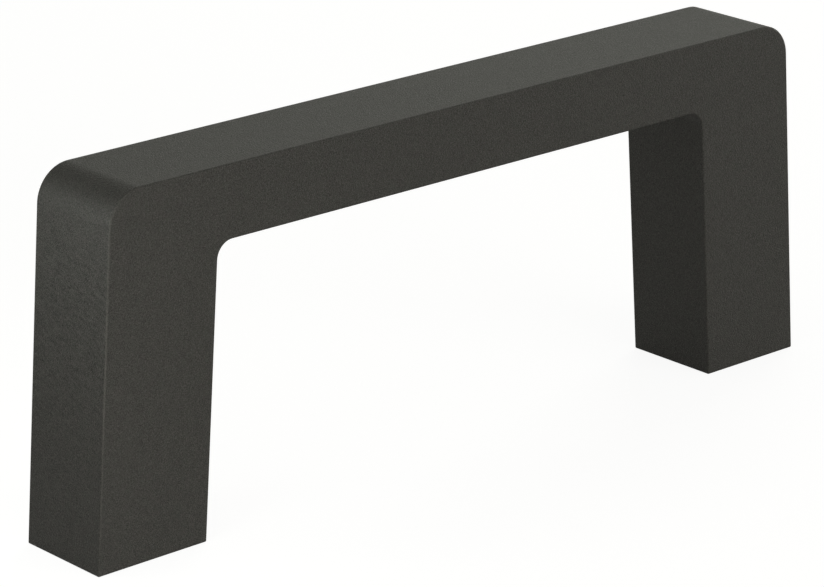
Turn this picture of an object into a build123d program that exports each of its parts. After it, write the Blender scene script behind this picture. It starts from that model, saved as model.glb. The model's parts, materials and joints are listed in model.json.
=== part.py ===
from build123d import *
from math import radians, tan
import os

# Bridge pull handle, in millimetres: a straight bar on two legs that splay outwards
# towards their feet.  It is one piece of aluminium, sawn off an extruded section and
# finished all over, with a blind M5 hole tapped into each foot, so that it is screwed on
# from behind the door or panel.
#
# The origin lies on the mounting face, midway between the feet.  +X runs along the bar,
# +Y across its width, and +Z away from the mounting face.

# The bar and its legs
hole_spacing = 88.0           # between the axes of the two tapped holes
overall_height = 40.0         # from the mounting face to the top of the bar
handle_width = 12.0           # across the bar and the legs, along Y
bar_thickness = 8.0
leg_thickness = 14.0          # along X, the same at every height
leg_splay = 4.0               # degrees that a leg leans outwards towards its foot

# Its corners and edges
outer_corner_radius = 4.0     # where the top of the bar turns down into a leg
inner_corner_radius = 2.0     # in the throat, under the bar
edge_radius = 0.3             # on the long edges of the two sides

# The tapped hole in each foot, M5 x 0.8, before its thread is cut
tapping_diameter = 4.2
tapping_depth = 13.0          # of the full diameter, below the foot's face
drill_point_angle = 118.0
countersink_diameter = 5.5
countersink_angle = 90.0


def bridge_outline():
    """The handle seen along Y, local Y upwards: legs of even thickness under a straight bar."""
    foot_outside = (hole_spacing + leg_thickness) / 2
    foot_inside = (hole_spacing - leg_thickness) / 2
    underside = overall_height - bar_thickness
    lean = tan(radians(leg_splay))
    shoulder = foot_outside - overall_height * lean
    throat = foot_inside - underside * lean

    outline = Polygon(
        (-foot_outside, 0),
        (-foot_inside, 0),
        (-throat, underside),
        (throat, underside),
        (foot_inside, 0),
        (foot_outside, 0),
        (shoulder, overall_height),
        (-shoulder, overall_height),
        align=None,
    )
    throat_corners = outline.vertices().group_by(Axis.Y)[1]
    outline = fillet(throat_corners, inner_corner_radius)
    top_corners = outline.vertices().group_by(Axis.Y)[-1]
    return fillet(top_corners, outer_corner_radius)


def sawn_length(outline):
    """The outline carried across the width, with the long edges of both sides rounded."""
    blank = extrude(Plane.XZ * outline, amount=handle_width / 2, both=True)
    edges_by_side = blank.edges().group_by(Axis.Y)
    side_edges = edges_by_side[0] + edges_by_side[-1]
    # The feet keep crisp edges all round, because they are faced flat after the rounding.
    long_edges = side_edges.filter_by(lambda edge: edge.center().Z > edge_radius)
    return fillet(long_edges, edge_radius)


def tapped_hole():
    """What drill and countersink take out of one foot, from the mounting face upwards."""
    wall = tapping_diameter / 2
    mouth = countersink_diameter / 2
    countersink_depth = (mouth - wall) / tan(radians(countersink_angle / 2))
    point_height = wall / tan(radians(drill_point_angle / 2))
    half_section = Polygon(
        (0, 0),
        (mouth, 0),
        (wall, countersink_depth),
        (wall, tapping_depth),
        (0, tapping_depth + point_height),
        align=None,
    )
    return revolve(Plane.XZ * half_section, Axis.Z)


handle = sawn_length(bridge_outline())
for foot in GridLocations(hole_spacing, 0, 2, 1):
    handle -= foot * tapped_hole()

handle = handle.solid()
handle.label = "bridge_handle"

os.makedirs("parts", exist_ok=True)
export_step(handle, "parts/bridge_handle.step")
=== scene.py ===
import json
from math import cos, pi, radians, sin, tan

import bpy
import numpy as np
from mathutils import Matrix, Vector


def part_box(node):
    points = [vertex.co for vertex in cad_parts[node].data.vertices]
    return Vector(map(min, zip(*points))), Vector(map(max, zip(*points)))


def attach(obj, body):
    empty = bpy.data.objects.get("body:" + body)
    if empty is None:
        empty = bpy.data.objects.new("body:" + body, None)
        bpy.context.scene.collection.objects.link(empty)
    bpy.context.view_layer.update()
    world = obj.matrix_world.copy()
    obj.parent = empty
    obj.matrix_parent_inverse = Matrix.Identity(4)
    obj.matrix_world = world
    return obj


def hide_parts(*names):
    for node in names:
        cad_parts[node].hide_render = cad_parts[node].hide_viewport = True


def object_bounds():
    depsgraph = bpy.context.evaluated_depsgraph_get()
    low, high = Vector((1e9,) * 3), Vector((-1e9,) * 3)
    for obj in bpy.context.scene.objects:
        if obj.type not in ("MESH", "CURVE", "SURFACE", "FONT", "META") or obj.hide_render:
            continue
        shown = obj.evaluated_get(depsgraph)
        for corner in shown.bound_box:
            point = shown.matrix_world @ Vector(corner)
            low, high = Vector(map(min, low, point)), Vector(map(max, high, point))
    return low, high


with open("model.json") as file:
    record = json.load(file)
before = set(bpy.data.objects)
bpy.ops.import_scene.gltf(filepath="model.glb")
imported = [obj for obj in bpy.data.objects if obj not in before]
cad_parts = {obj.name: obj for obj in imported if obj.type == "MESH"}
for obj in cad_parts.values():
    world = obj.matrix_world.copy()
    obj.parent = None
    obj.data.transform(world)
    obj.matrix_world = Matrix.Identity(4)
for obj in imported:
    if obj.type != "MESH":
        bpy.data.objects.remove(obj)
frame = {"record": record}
cad_low, cad_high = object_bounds()
MM = 0.001


# ------------------------------------------------------------------------------------------
# The bar and its two legs: one length of extruded aluminium section, sawn to the handle's
# width, with the long edges of both sides rounded.  Stations run from the left foot over the
# bar to the right foot, and at every station a loop of points goes round the section.
# ------------------------------------------------------------------------------------------
box_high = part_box("bridge_handle")[1]
mounts = frame["record"]["mounts"]
tapped_holes = sorted(m["pos_m"][0] for m in mounts if m["kind"] == "threaded_hole")

overall_height = box_high.z
half_width = box_high.y
foot_outside = box_high.x
foot_inside = 2 * tapped_holes[-1] - foot_outside    # a foot is centred on its hole
bar_thickness = 8 * MM
bar_underside = overall_height - bar_thickness
leg_lean = radians(4)
outer_corner_radius = 4 * MM
inner_corner_radius = 2 * MM
edge_radius = 0.19 * MM
foot_edge_radius = 0.17 * MM    # less than the edges' radius, so that it can turn their corners

# How many points each stretch of the surface has.  A flat stretch has one more close to each of
# its ends, by a small share of its length or by a small gap, which keeps it shaded flat.
leg_points, corner_points, bar_points = 25, 25, 33
face_points, edge_points, side_points = 7, 7, 11
foot_end_share, bend_end_share, side_end_share = 0.003, 0.002, 0.004
face_end_gap = 0.04 * MM


def corner_centre(foot_x, height, radius):
    """The centre of the arc that lies one radius in from a leg's face and from the bar's."""
    centre_z = height - radius
    return np.array([foot_x - (radius + centre_z * sin(leg_lean)) / cos(leg_lean), centre_z])


corner_turn = np.linspace(leg_lean, pi / 2, corner_points)
corner_headings = np.stack([np.cos(corner_turn), np.sin(corner_turn)], axis=1)
leg_steps = np.concatenate([[0, foot_end_share], np.linspace(0, 1, leg_points)[1:-1],
                            [1 - bend_end_share]])
bar_steps = np.append(bend_end_share, np.linspace(0, 1, bar_points)[1:])


def edge_line(foot_x, height, radius):
    """Half of the handle's outer or inner line, seen along Y: straight up the leg from above the
    foot's edge, round an arc of the given radius, and straight along the bar to the middle."""
    arc = corner_centre(foot_x, height, radius) + radius * corner_headings
    foot = np.array([foot_x - foot_edge_radius * tan(leg_lean), foot_edge_radius])
    middle = np.array([0.0, height])
    leg = foot + (arc[0] - foot) * leg_steps[:, None]
    bar = arc[-1] + (middle - arc[-1]) * bar_steps[:, None]
    return np.vstack([leg, arc, bar])


def both_halves(right_half):
    """The left half mirrored from the right one, then the right half from mid-bar to its foot."""
    return np.vstack([right_half * (-1, 1), right_half[-2::-1]])


outer_line = both_halves(edge_line(foot_outside, overall_height, outer_corner_radius))
inner_line = both_halves(edge_line(foot_inside, bar_underside, inner_corner_radius))

# The way out through the face at each station.  At the legs' ends it is level, like the feet.
leg_headings = np.repeat(corner_headings[:1], len(leg_steps), axis=0)
leg_headings[0] = (1 / cos(leg_lean), 0)
bar_headings = np.repeat(corner_headings[-1:], len(bar_steps), axis=0)
headings = both_halves(np.vstack([leg_headings, corner_headings, bar_headings]))


def with_mirror(half, sign=1):
    """Half a loop, then its mirror image back to the start, made negative by a sign of -1."""
    return np.append(half, sign * half[-2:0:-1])


def section_loop():
    """Half a turn round the section, from the middle of the outer face over the back to the
    middle of the inner face, then its mirror image over the front.  For each point it gives the
    share of the way from the inner to the outer face, the depth below the face, y, and which way
    the surface faces: outwards from the inner to the outer face, and along Y."""
    flat_end = half_width - edge_radius
    face_y = np.append(np.linspace(0, flat_end, face_points)[:-1],
                       (flat_end - face_end_gap, flat_end))
    turn = np.linspace(0, pi / 2, edge_points)[1:]
    edge_y = flat_end + edge_radius * np.sin(turn)
    edge_depth = edge_radius * (1 - np.cos(turn))
    side_share = np.concatenate([[1 - side_end_share], np.linspace(1, 0, side_points)[1:-1],
                                 [side_end_share]])

    face, edge, side = 0 * face_y, 0 * turn, 0 * side_share
    share = np.concatenate([face + 1, edge + 1, side_share, edge, face])
    depth = np.concatenate([face, edge_depth, side + edge_radius, edge_depth[::-1], face])
    y = np.concatenate([face_y, edge_y, side + half_width, edge_y[::-1], face_y[::-1]])
    face_turn = np.concatenate([face, turn, side + pi / 2, pi - turn[::-1], face + pi])
    return (with_mirror(share), with_mirror(depth), with_mirror(y, -1),
            with_mirror(np.cos(face_turn)), with_mirror(np.sin(face_turn), -1))


# Each point lies between the inner and the outer line by its share, and is then moved into the
# metal from the nearer face by its depth.
share, depth, loop_y, faces_out, faces_y = section_loop()
skin = (inner_line[:, None] * (1 - share[:, None]) + outer_line[:, None] * share[:, None]
        + headings[:, None] * (depth * (1 - 2 * share))[:, None])
skin = np.stack([skin[..., 0], np.broadcast_to(loop_y, skin.shape[:2]), skin[..., 1]], axis=2)


# ------------------------------------------------------------------------------------------
# The foot's face, its rounded edge, and the M5 hole tapped up into it: countersunk, drilled to a
# point, and cut with a 60 degree thread.  Rows of the same number of points carry on from the
# last loop of the leg, round the edge, level across the face and up the hole to its point.
# ------------------------------------------------------------------------------------------
thread_pitch = 0.8 * MM
thread_angle = radians(60)
thread_major_radius = 2.5 * MM
thread_root_flat = thread_pitch / 8
thread_end = 10.0 * MM
thread_run_out = 1.5 * thread_pitch
tapping_radius = 2.1 * MM
tapping_end = 13.0 * MM
point_height = tapping_radius / tan(radians(118 / 2))
mouth_radius = 2.75 * MM

edge_turns = np.linspace(0, pi / 2, 6)[1:]              # round the foot's edge
face_blends = np.array([0.012, 0.25, 0.5, 0.75, 1])     # from its outline in to the mouth
foot_rows = len(edge_turns) + len(face_blends)
thread_heights = np.arange(0.05, 10.4, 0.05) * MM       # to just past where the thread ends
bore_heights = np.linspace(10.8 * MM, tapping_end, 4)
hole_heights = np.concatenate([thread_heights, bore_heights])
cone_shares = np.array([0.75, 0.5, 0.25])               # of the bore's radius, up the drill point


def thread_radius(z, turn):
    """Distance from the hole's axis.  Across the pitch a groove's straight sides, with the
    thread's angle between them, pass from the flat at its root to the drilled wall, and the root
    climbs one pitch each turn.  The groove dies out over its run-out, and the 90 degree
    countersink cuts its start."""
    from_root = np.abs((z / thread_pitch - turn / (2 * pi) + 0.5) % 1 - 0.5) * thread_pitch
    flank = thread_major_radius + (thread_root_flat / 2 - from_root) / tan(thread_angle / 2)
    depth_left = np.clip((thread_end - z) / thread_run_out, 0, 1)
    groove = np.clip(flank, tapping_radius, thread_major_radius) - tapping_radius
    return np.maximum(tapping_radius + groove * depth_left, mouth_radius - z)


def foot_and_hole(last_loop, axis_x):
    """Rows of points from the leg to the hole's point.  The edge is a quarter turn whose inset is
    radius x (1 - cos) and whose height is radius x (1 - sin).  The rest is in polar form about the
    hole's axis: radius and turn pass evenly from the foot's outline to the mouth, the thread
    follows, and a cone closes it."""
    side = np.sign(axis_x)
    inset = (foot_edge_radius * (1 - np.cos(edge_turns)))[:, None]
    edge_z = (foot_edge_radius * (1 - np.sin(edge_turns)))[:, None]
    flare = (foot_edge_radius - edge_z) * tan(leg_lean)
    edge_x = last_loop[:, 0] + side * (flare - inset * faces_out)
    edge_y = last_loop[:, 1] - inset * faces_y
    edge = np.stack([edge_x, edge_y, np.broadcast_to(edge_z, edge_x.shape)], axis=2)

    off_x, off_y = edge[-1, :, 0] - axis_x, edge[-1, :, 1]
    outline_radius = np.hypot(off_x, off_y)
    outline_turn = np.unwrap(np.arctan2(off_y, off_x))
    way_round = np.sign(outline_turn[1] - outline_turn[0])
    even_turn = outline_turn[0] + way_round * np.arange(len(off_x)) * 2 * pi / len(off_x)

    blend = face_blends[:, None]
    face_radius = outline_radius * (1 - blend) + mouth_radius * blend
    face_turn = outline_turn * (1 - blend) + even_turn * blend
    hole_radius = thread_radius(hole_heights[:, None], even_turn)
    cone_radius = tapping_radius * cone_shares[:, None] * np.ones_like(even_turn)
    cone_heights = tapping_end + point_height * (1 - cone_shares)

    radius = np.vstack([face_radius, hole_radius, cone_radius])
    turn = np.vstack([face_turn, np.tile(even_turn, (len(radius) - len(blend), 1))])
    z = np.concatenate([0 * face_blends, hole_heights, cone_heights])[:, None]
    rest = np.stack([axis_x + radius * np.cos(turn), radius * np.sin(turn),
                     np.broadcast_to(z, radius.shape)], axis=2)
    return np.concatenate([edge, rest])


left_rows = foot_and_hole(skin[0], tapped_holes[0])[::-1]
right_rows = foot_and_hole(skin[-1], tapped_holes[-1])
rows = np.concatenate([left_rows, skin, right_rows])
drill_points = [(x, 0.0, tapping_end + point_height) for x in tapped_holes]


def closed_tube(name, rows, end_points):
    """A mesh of loops joined row to row by quads, each end drawn to a point by triangles."""
    row_count, loop_count = rows.shape[:2]
    first, second = np.arange(loop_count), np.roll(np.arange(loop_count), -1)
    starts = np.arange(row_count - 1)[:, None] * loop_count
    quads = np.stack([starts + second, starts + first, starts + loop_count + first,
                      starts + loop_count + second], axis=2).reshape(-1, 4)
    tip = row_count * loop_count
    last = (row_count - 1) * loop_count
    near_end = np.stack([first, second, np.full(loop_count, tip)], axis=1)
    far_end = np.stack([last + second, last + first, np.full(loop_count, tip + 1)], axis=1)
    mesh = bpy.data.meshes.new(name)
    mesh.from_pydata(np.vstack([rows.reshape(-1, 3), end_points]).tolist(), [],
                     quads.tolist() + near_end.tolist() + far_end.tolist())
    return mesh


handle_mesh = closed_tube("bridge_handle_coated", rows, drill_points)
handle = bpy.data.objects.new("bridge_handle_coated", handle_mesh)
bpy.context.scene.collection.objects.link(handle)
handle_mesh.shade_smooth()

# The holes are bare metal from their mouths inwards; the rest takes the coat.
row_of_face = np.arange((len(rows) - 1) * len(loop_y)) // len(loop_y)
hole_rows = len(left_rows) - foot_rows
bare = (row_of_face < hole_rows) | (row_of_face >= len(rows) - 1 - hole_rows)
face_material = np.ones(len(handle_mesh.polygons), dtype=np.int32)
face_material[:len(bare)] = bare
handle_mesh.polygons.foreach_set("material_index", face_material)

# The only sharp edges are the rims of the two mouths.
edge_ends = np.empty(2 * len(handle_mesh.edges), dtype=np.int32)
handle_mesh.edges.foreach_get("vertices", edge_ends)
edge_rows = edge_ends.reshape(-1, 2) // len(loop_y)
on_rim = np.isin(edge_rows, (hole_rows, len(rows) - 1 - hole_rows)).all(axis=1)
handle_mesh.attributes.new("sharp_edge", "BOOLEAN", "EDGE").data.foreach_set("value", on_rim)


# ------------------------------------------------------------------------------------------
# The finish: a matt black powder coat with a fine texture, sprayed on and baked.  It is a fine
# speckle with pale flecks over soft clouds, faintly streaked down the legs' outer faces, with a
# painted highlight down the legs' rounded edges.  The holes are cut after it, so they are bare.
# ------------------------------------------------------------------------------------------
coat_dark = (0.0080, 0.0078, 0.0072, 1)
coat_warm = (0.0609, 0.0566, 0.0539, 1)
coat_green = (0.0580, 0.0588, 0.0528, 1)
coat_specular = 0.28
speckle_size = 0.1 * MM
speckle_tone = (0.17, 0.79)
speckle_roughness = (0.57, 0.43)
fleck_size = 0.14 * MM
fleck_range = (0.55, 0.74)       # how far up the noise pale flecks begin and are whole
fleck_lift = 0.4
cloud_size = 1.5 * MM
cloud_tone = (-0.05, 0.05)
cloud_roughness = (-0.02, 0.02)
tint_size = 0.8 * MM             # of the patches where warm black passes to green black
grain_turn = (radians(35), radians(25), radians(15))
fleck_turn = (radians(-30), radians(20), radians(50))

pebble_size = 0.2 * MM
pebble_height = 0.055 * MM
speckle_height = 0.6             # of the pebbles' height
coat_bump = 0.8

# The painted highlight down the legs' rounded edges: its wave across the edge, its strength up the
# legs, and how far it lightens the coat.
highlight_turn = 1.6                  # of the sine wave for each radian round the edge
highlight_rises = (0.05, 0.3, 0.55, 0.75, 1)
highlight_at_rises = (0.2, 0.4, 0.9, 0.5, 0.45)
highlight_lift = 0.48
streak_rises = (0, 0.3, 0.6, 0.8, 1)
streak_at_rises = (0.3, 0.55, 1, 1, 0.2)
streak_size = 0.3 * MM
streak_stretch = (1, 3.6, 1)
streak_turn = (radians(20), 0, 0)
streak_spin = (0, radians(40), 0)
streak_tone = (-0.22, 0.22)

cut_dull = (0.47, 0.47, 0.48, 1)
cut_bright = (0.70, 0.70, 0.71, 1)
ring_size = 0.06 * MM
ring_stretch = (80, 80, 1)
ring_height = 0.006 * MM
ring_tone = (0.3, 0.7)
ring_roughness = (0.26, 0.38)
ring_bump = 0.6
stain_size = 1.2 * MM
stain_tone = (-0.3, 0.3)
stain_roughness = (0.08, -0.08)


def skin_attribute(name, values):
    """A number from 0 to 1 at each point of the skin, and 0 on the feet and in the holes."""
    outside = np.zeros(len(left_rows) * len(loop_y))
    ends = np.zeros(len(drill_points))
    everywhere = np.concatenate([outside, values.ravel(), outside, ends])
    attribute = handle_mesh.attributes.new(name, "FLOAT", "POINT")
    attribute.data.foreach_set("value", everywhere)


# A painted highlight down the legs' outer rounded edges: part of a sine wave across each edge,
# ending a little way on to the sides.  It is strongest half-way up the legs, where the edge
# catches the light most, and fades round the corners, where the edge shows dark.  Streaks cover
# the legs' outer faces between their rounded edges.
rise = outer_line[:, 1:] / overall_height
edge_turn = np.arccos(np.clip(1 - depth / edge_radius, 0, 1))
outer_face = share == 1
across_edge = np.sin(highlight_turn * edge_turn) * outer_face
highlight_strength = np.interp(rise, highlight_rises, highlight_at_rises)
# Painted highlight: lighter coat down the legs' outer rounded edges.
skin_attribute("painted_edge_highlight", across_edge * highlight_strength * np.abs(headings[:, :1]))
on_leg = np.abs(skin[:, :1, 0]) > foot_inside - outer_corner_radius
streaked = np.interp(rise, streak_rises, streak_at_rises)
skin_attribute("outer_leg", outer_face * (depth < face_end_gap) * on_leg * streaked)


def noise(tree, place, size, detail=1.0, roughness=0.5):
    """Perlin noise with features of the given size; its octaves halve in size and fade."""
    node = tree.nodes.new("ShaderNodeTexNoise")
    node.inputs["Scale"].default_value = 1 / size
    node.inputs["Detail"].default_value = detail
    node.inputs["Roughness"].default_value = roughness
    tree.links.new(place, node.inputs["Vector"])
    return node.outputs["Fac"]


def scaled(tree, value, low, high, from_low=0.25, from_high=0.75, clamp=False):
    """A value mapped in a straight line from one range to another.  The range it comes from is
    the middle half, where most of a noise lies, unless another is given."""
    node = tree.nodes.new("ShaderNodeMapRange")
    node.clamp = clamp
    node.inputs["From Min"].default_value = from_low
    node.inputs["From Max"].default_value = from_high
    node.inputs["To Min"].default_value = low
    node.inputs["To Max"].default_value = high
    tree.links.new(value, node.inputs["Value"])
    return node.outputs["Result"]


def combined(tree, operation, first, second):
    """Two values added, multiplied or otherwise joined by one math node."""
    node = tree.nodes.new("ShaderNodeMath")
    node.operation = operation
    tree.links.new(first, node.inputs[0])
    tree.links.new(second, node.inputs[1])
    return node.outputs[0]


def added(tree, total, *more):
    """The sum of several values, added one after another."""
    for value in more:
        total = combined(tree, "ADD", total, value)
    return total


def turned(tree, place, turn, stretch=(1, 1, 1)):
    """A place read along axes turned by the given angles, its pattern stretched along them."""
    node = tree.nodes.new("ShaderNodeMapping")
    node.vector_type = "TEXTURE"
    node.inputs["Rotation"].default_value = turn
    node.inputs["Scale"].default_value = stretch
    tree.links.new(place, node.inputs["Vector"])
    return node.outputs["Vector"]


def painted_on(tree, name):
    """The value of one of the skin's own attributes."""
    node = tree.nodes.new("ShaderNodeAttribute")
    node.attribute_name = name
    return node.outputs["Fac"]


def mixed(tree, share, first, second):
    """Two colours, or what gives them, mixed by a share of the second."""
    node = tree.nodes.new("ShaderNodeMix")
    node.data_type = "RGBA"
    tree.links.new(share, node.inputs["Factor"])
    for socket, colour in (("A", first), ("B", second)):
        if isinstance(colour, tuple):
            node.inputs[socket].default_value = colour
        else:
            tree.links.new(colour, node.inputs[socket])
    return node.outputs["Result"]


def bumped(tree, height, strength, reach):
    """The way the surface faces once a height, whose 1 stands for the reach, tilts it."""
    node = tree.nodes.new("ShaderNodeBump")
    node.inputs["Strength"].default_value = strength
    node.inputs["Distance"].default_value = reach
    tree.links.new(height, node.inputs["Height"])
    return node.outputs["Normal"]


def powder_coat():
    """Tone runs from the dark coat at 0 to the pale one at 1.  Speckle carries most of it; flecks,
    clouds and the streaks down the legs are added, and a painted highlight down the legs' rounded
    edges.  Noise is read along turned axes, because along its own it draws rows and columns on a
    flat face."""
    material = bpy.data.materials.new("powder_coat")
    material.use_nodes = True
    tree = material.node_tree
    shader = tree.nodes["Principled BSDF"]
    shader.inputs["Specular IOR Level"].default_value = coat_specular
    place = tree.nodes.new("ShaderNodeTexCoord").outputs["Object"]
    askew = turned(tree, place, grain_turn)

    speckle = noise(tree, askew, speckle_size, detail=0.0)
    flecks = noise(tree, turned(tree, place, fleck_turn), fleck_size, detail=0.0)
    clouds = noise(tree, askew, cloud_size, detail=3.0, roughness=0.6)
    tints = noise(tree, askew, tint_size)
    pebbles = noise(tree, askew, pebble_size)
    along_streaks = turned(tree, turned(tree, place, streak_turn, streak_stretch), streak_spin)
    streaks = noise(tree, along_streaks, streak_size)
    leg_streaks = combined(tree, "MULTIPLY", painted_on(tree, "outer_leg"),
                           scaled(tree, streaks, *streak_tone))

    # The last term is a painted highlight, lightening the coat down the legs' rounded edges.
    tone = added(tree, scaled(tree, speckle, *speckle_tone),
                 scaled(tree, flecks, 0, fleck_lift, *fleck_range, clamp=True),
                 scaled(tree, clouds, *cloud_tone),
                 leg_streaks,
                 scaled(tree, painted_on(tree, "painted_edge_highlight"), 0, highlight_lift, 0, 1))
    pale = mixed(tree, scaled(tree, tints, 0, 1), coat_warm, coat_green)
    tree.links.new(mixed(tree, tone, coat_dark, pale), shader.inputs["Base Color"])

    gloss = added(tree, scaled(tree, speckle, *speckle_roughness),
                  scaled(tree, clouds, *cloud_roughness))
    tree.links.new(gloss, shader.inputs["Roughness"])

    height = added(tree, pebbles, scaled(tree, speckle, 0, speckle_height, 0, 1))
    tree.links.new(bumped(tree, height, coat_bump, pebble_height), shader.inputs["Normal"])
    return material


def bare_aluminium():
    """The drill and the tap leave fine rings round the hole: noise stretched so far along X and Y
    that only its change with height is left.  Soft stains dull the metal in places."""
    material = bpy.data.materials.new("cut_aluminium")
    material.use_nodes = True
    tree = material.node_tree
    shader = tree.nodes["Principled BSDF"]
    shader.inputs["Metallic"].default_value = 1.0
    place = tree.nodes.new("ShaderNodeTexCoord").outputs["Object"]

    rings = noise(tree, turned(tree, place, (0, 0, 0), ring_stretch), ring_size, detail=2.0)
    stains = noise(tree, turned(tree, place, grain_turn), stain_size, detail=3.0, roughness=0.6)
    tone = added(tree, scaled(tree, rings, *ring_tone), scaled(tree, stains, *stain_tone))
    tree.links.new(mixed(tree, tone, cut_dull, cut_bright), shader.inputs["Base Color"])
    gloss = added(tree, scaled(tree, rings, *ring_roughness),
                  scaled(tree, stains, *stain_roughness))
    tree.links.new(gloss, shader.inputs["Roughness"])
    tree.links.new(bumped(tree, rings, ring_bump, ring_height), shader.inputs["Normal"])
    return material


handle_mesh.materials.append(powder_coat())
handle_mesh.materials.append(bare_aluminium())

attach(handle, "root")
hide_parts("bridge_handle")


# ------------------------------------------------------------------------------------------
# The studio floor: a wide sheet of plain white, matt and level with the feet, which runs well
# past the view on every side and takes the handle's soft shadow.
# ------------------------------------------------------------------------------------------
floor_paint = 0.85
paint_to_camera = 0.26
glow_to_camera = 0.9
glow_in_reflections = 0.2
floor_reach = 4.0


def seen_in_reflections(tree, path):
    """1 on a ray that comes by way of something shiny or clear, and 0 on any other."""
    return added(tree, path.outputs["Is Glossy Ray"], path.outputs["Is Transmission Ray"])


def white_floor():
    """Pale matt paint.  To the camera and in reflections, glow takes the place of some of it, and
    what paint is left still shows the handle's shadow."""
    material = bpy.data.materials.new("white_floor")
    material.use_nodes = True
    tree = material.node_tree
    tree.nodes.clear()
    path = tree.nodes.new("ShaderNodeLightPath")
    seen = path.outputs["Is Camera Ray"]
    mirrored = seen_in_reflections(tree, path)
    glow = added(tree, scaled(tree, seen, 0, glow_to_camera, 0, 1),
                 scaled(tree, mirrored, 0, glow_in_reflections, 0, 1))
    tint = added(tree, scaled(tree, seen, floor_paint, paint_to_camera, 0, 1),
                 scaled(tree, mirrored, 0, -floor_paint * glow_in_reflections, 0, 1))
    paint = tree.nodes.new("ShaderNodeBsdfDiffuse")
    tree.links.new(tint, paint.inputs["Color"])
    light = tree.nodes.new("ShaderNodeEmission")
    tree.links.new(glow, light.inputs["Strength"])
    both = tree.nodes.new("ShaderNodeAddShader")
    tree.links.new(paint.outputs[0], both.inputs[0])
    tree.links.new(light.outputs[0], both.inputs[1])
    output = tree.nodes.new("ShaderNodeOutputMaterial")
    tree.links.new(both.outputs[0], output.inputs["Surface"])
    return material


floor_mesh = bpy.data.meshes.new("studio_floor")
corners = np.array([(-1, -1), (1, -1), (1, 1), (-1, 1)]) * floor_reach
floor_mesh.from_pydata([(x, y, cad_low.z) for x, y in corners], [], [(0, 1, 2, 3)])
floor = bpy.data.objects.new("studio_floor", floor_mesh)
bpy.context.scene.collection.objects.link(floor)
floor_mesh.materials.append(white_floor())


# ------------------------------------------------------------------------------------------
# The light: soft boxes low round the handle, small ones close to its near edge and its left
# end, and an even warm grey from the room.
# ------------------------------------------------------------------------------------------
room_level = 0.19
room_colour = (1, 0.98, 0.87, 1)
room_white = (1, 1, 1, 1)


def studio_room():
    """The same grey all round.  To the camera it is white, and in reflections part of the way to
    white."""
    world = bpy.data.worlds.new("studio_room")
    world.use_nodes = True
    tree = world.node_tree
    path = tree.nodes.new("ShaderNodeLightPath")
    whiteness = added(tree, path.outputs["Is Camera Ray"],
                      scaled(tree, seen_in_reflections(tree, path), 0, glow_in_reflections, 0, 1))
    background = tree.nodes["Background"]
    tree.links.new(mixed(tree, whiteness, room_colour, room_white), background.inputs["Color"])
    tree.links.new(scaled(tree, whiteness, room_level, 1, 0, 1), background.inputs["Strength"])
    return world


bpy.context.scene.world = studio_room()

centre = (cad_low + cad_high) / 2
near_corner = Vector((cad_low.x + 1.5 * MM, cad_low.y, 12 * MM))
left_end = Vector((cad_low.x + 5.5 * MM, 0, 30 * MM))
warm, plain, cool = (1, 0.985, 0.91), (0.97, 1, 0.91), (0.95, 1, 0.95)


def direction(azimuth, elevation):
    """The unit vector towards a lamp or the camera.  Azimuth 0 is in front, at -Y, and grows
    towards +X; elevation is the angle above the floor.  Both are in degrees."""
    a, e = radians(azimuth), radians(elevation)
    return Vector((sin(a) * cos(e), -cos(a) * cos(e), sin(e)))


def soft_box(name, azimuth, elevation, distance, size, level, colour, lit_point=centre,
             upright=False):
    """A rectangular lamp at a distance from the point that it lights, turned to face it, or kept
    upright.  Level is how bright it alone would make a white card facing it there.  Its power is
    pi^2 x distance^2 x level, because a lamp of power P shines P / (pi x area) bright."""
    back = direction(azimuth, elevation)
    lamp = bpy.data.lights.new(name, "AREA")
    lamp.shape = "RECTANGLE"
    lamp.size, lamp.size_y = size
    lamp.color = colour
    lamp.energy = pi ** 2 * distance ** 2 * level
    box = bpy.data.objects.new(name, lamp)
    bpy.context.scene.collection.objects.link(box)
    box.location = lit_point + back * distance
    facing = Vector((back.x, back.y, 0)) if upright else back
    box.rotation_euler = (-facing).to_track_quat("-Z", "Y").to_euler()
    box.visible_camera = False


# Each has its azimuth and elevation, its distance, its width and height, its level and colour.
soft_box("front_box", 12, 8, 1.0, (0.9, 0.5), 0.49, warm)
soft_box("back_right_box", 120, 34, 1.0, (0.5, 0.5), 0.162, plain)
soft_box("back_low_box", 150, 8, 1.0, (0.5, 0.5), 0.03, plain)
soft_box("back_fill", 180, 0.3, 1.2, (0.6, 0.05), 0.08, plain, upright=True)
soft_box("right_fill", 88, 0.3, 1.2, (0.8, 0.05), 0.21, warm, upright=True)
soft_box("near_edge_box", -48, 0, 0.08, (0.07, 0.02), 0.43, warm, near_corner, upright=True)
soft_box("left_end_box", -90, 26.6, 0.0335, (0.05, 0.02), 0.81, cool, left_end, upright=True)


# ------------------------------------------------------------------------------------------
# The camera: a long lens in front of the handle and to its left, which looks down at it at a
# shallow angle, aimed close to its middle.  The Standard view shows colours as they are.
# ------------------------------------------------------------------------------------------
camera_azimuth, camera_elevation, camera_distance = -41.695, 19.272, 0.41585
aim = centre + Vector((-2.495, 0.973, -2.739)) * MM
focal_length, film_width = 167.469, 36    # in millimetres, as Blender takes them
nearest, farthest = 0.01, 20

back = direction(camera_azimuth, camera_elevation)
lens = bpy.data.cameras.new("camera")
lens.sensor_width = film_width
lens.lens = focal_length
lens.clip_start, lens.clip_end = nearest, farthest
camera = bpy.data.objects.new("camera", lens)
bpy.context.scene.collection.objects.link(camera)
camera.location = aim + back * camera_distance
camera.rotation_euler = (-back).to_track_quat("-Z", "Y").to_euler()
bpy.context.scene.camera = camera
bpy.context.scene.view_settings.view_transform = "Standard"
